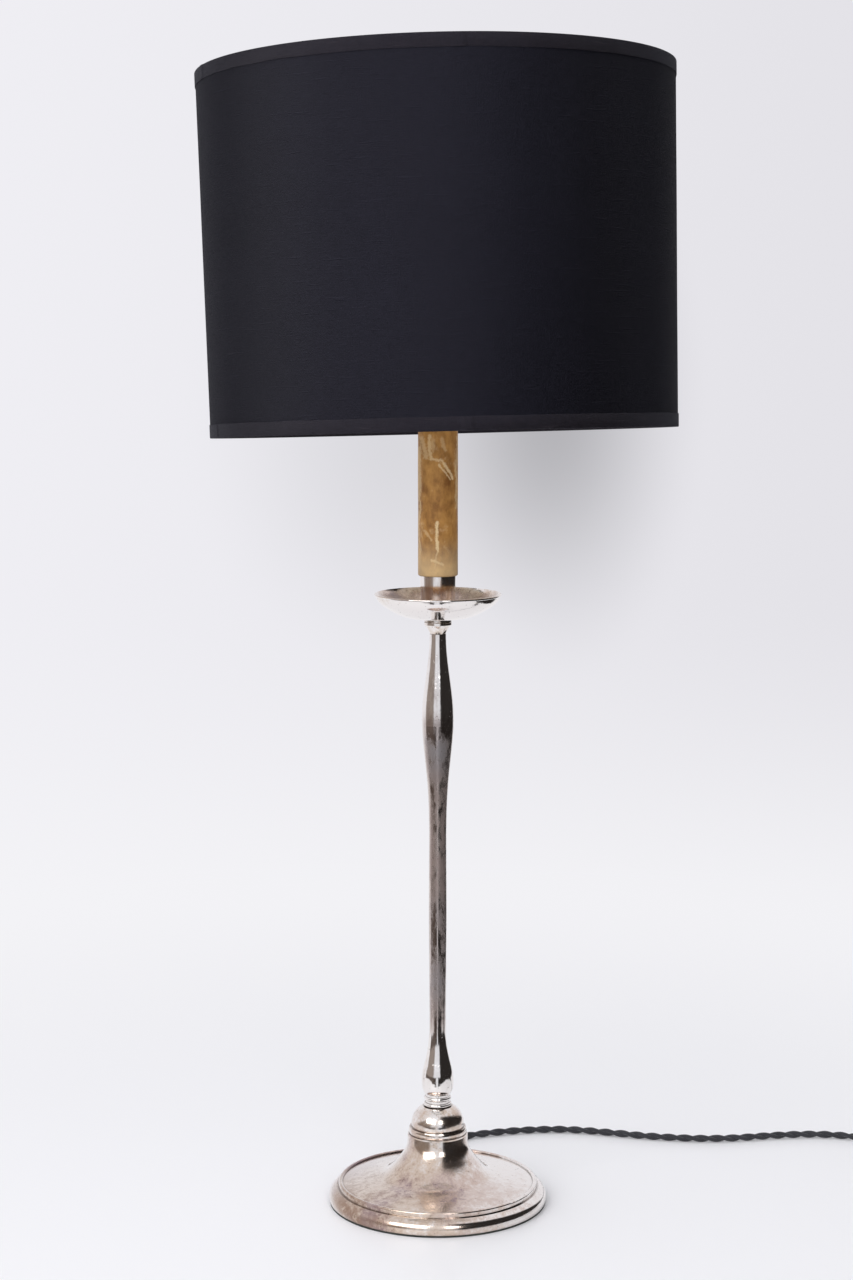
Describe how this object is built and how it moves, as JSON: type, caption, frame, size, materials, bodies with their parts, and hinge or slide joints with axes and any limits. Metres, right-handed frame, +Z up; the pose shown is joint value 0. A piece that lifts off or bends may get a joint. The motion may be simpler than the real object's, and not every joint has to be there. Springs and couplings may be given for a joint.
{
  "type": "candlestick lamp",
  "caption": "Table lamp made from a silver-plated candlestick with a drip pan and candle sleeve, under a black cloth drum shade on a harp.",
  "frame": {"origin": "middle of the felt under the foot, on the surface the lamp stands on", "axes": "+Z up the stem, the front is -Y, the cord leaves the back at +Y and runs off towards +X"},
  "size_m": [0.6645, 0.3667, 0.8786],
  "materials": {
    "silver_plate": "tarnished polish",
    "base_felt": "matte felt",
    "iron": "as cast",
    "black_bush": "matte",
    "zinc_steel": "zinc plated",
    "amber_candle": "waxy satin",
    "harp_brass": "satin",
    "fibre_card": "fibre paper",
    "brown_moulding": "gloss",
    "cap_metal": "satin",
    "cord_cloth": "twisted cloth",
    "shade_cloth": "slubbed weave",
    "shade_backing": "satin film",
    "trim_cloth": "woven tape",
    "ring_wire": "white paint",
    "bulb_envelope": "frosted",
    "bulb_vitrite": "gloss black"
  },
  "bodies": {
    "lamp_stand": {"felt_pad": "base_felt", "foot_shell": "silver_plate", "base_weight": "iron", "cord_grommet": "black_bush", "foot_washer": "zinc_steel", "foot_nut": "zinc_steel", "foot_collar": "silver_plate", "stem": "silver_plate", "neck_cup": "silver_plate", "drip_pan": "silver_plate", "candle_nozzle": "silver_plate", "nozzle_nut": "zinc_steel", "candle_sleeve": "amber_candle", "sleeve_cap": "harp_brass", "lamp_pipe": "harp_brass", "harp_saddle": "harp_brass", "harp_bow": "harp_brass", "harp_stud": "harp_brass", "socket_cap": "harp_brass", "socket_shell": "harp_brass", "socket_liner": "fibre_card", "socket_body": "brown_moulding", "terminal_screws": "harp_brass", "screw_shell": "cap_metal", "centre_contact": "harp_brass", "inner_lead": "cord_cloth", "cord_run": "cord_cloth", "cord_coil": "cord_cloth", "cord_tail": "cord_cloth", "plug_body": "brown_moulding", "plug_blades": "harp_brass"},
    "shade": {"shade_fabric": "shade_cloth", "shade_lining": "shade_backing", "shade_trim_top": "trim_cloth", "shade_trim_bottom": "trim_cloth", "shade_ring_top": "ring_wire", "shade_ring_bottom": "ring_wire", "shade_hub": "ring_wire", "spider_arm_back": "ring_wire", "spider_arm_left": "ring_wire", "spider_arm_right": "ring_wire"},
    "finial": {"finial": "harp_brass"},
    "switch_key": {"switch_key": "brown_moulding"},
    "bulb": {"bulb_glass": "bulb_envelope", "bulb_cap": "cap_metal", "bulb_insulator": "bulb_vitrite", "bulb_tip": "cap_metal"},
    "ferrule_left": {"ferrule_left": "harp_brass"},
    "ferrule_right": {"ferrule_right": "harp_brass"}
  },
  "joints": [
    {"name": "shade_swivel", "type": "hinge", "parent": "lamp_stand", "child": "shade", "pos_m": [0, 0, 0.8256], "axis": [0, 0, 1], "continuous": true},
    {"name": "finial_turn", "type": "hinge", "parent": "lamp_stand", "child": "finial", "pos_m": [0, 0, 0.83], "axis": [0, 0, 1], "continuous": true},
    {"name": "bulb_turn", "type": "hinge", "parent": "lamp_stand", "child": "bulb", "pos_m": [0, 0, 0.69], "axis": [0, 0, 1], "continuous": true},
    {"name": "switch_key_turn", "type": "hinge", "parent": "lamp_stand", "child": "switch_key", "pos_m": [0, -0.02, 0.6743], "axis": [0, 1, 0], "continuous": true},
    {"name": "ferrule_left_slide", "type": "slide", "parent": "lamp_stand", "child": "ferrule_left", "axis": [0, 0, 1], "range_m": [0, 0.012]},
    {"name": "ferrule_right_slide", "type": "slide", "parent": "lamp_stand", "child": "ferrule_right", "axis": [0, 0, 1], "range_m": [0, 0.012]}
  ]
}
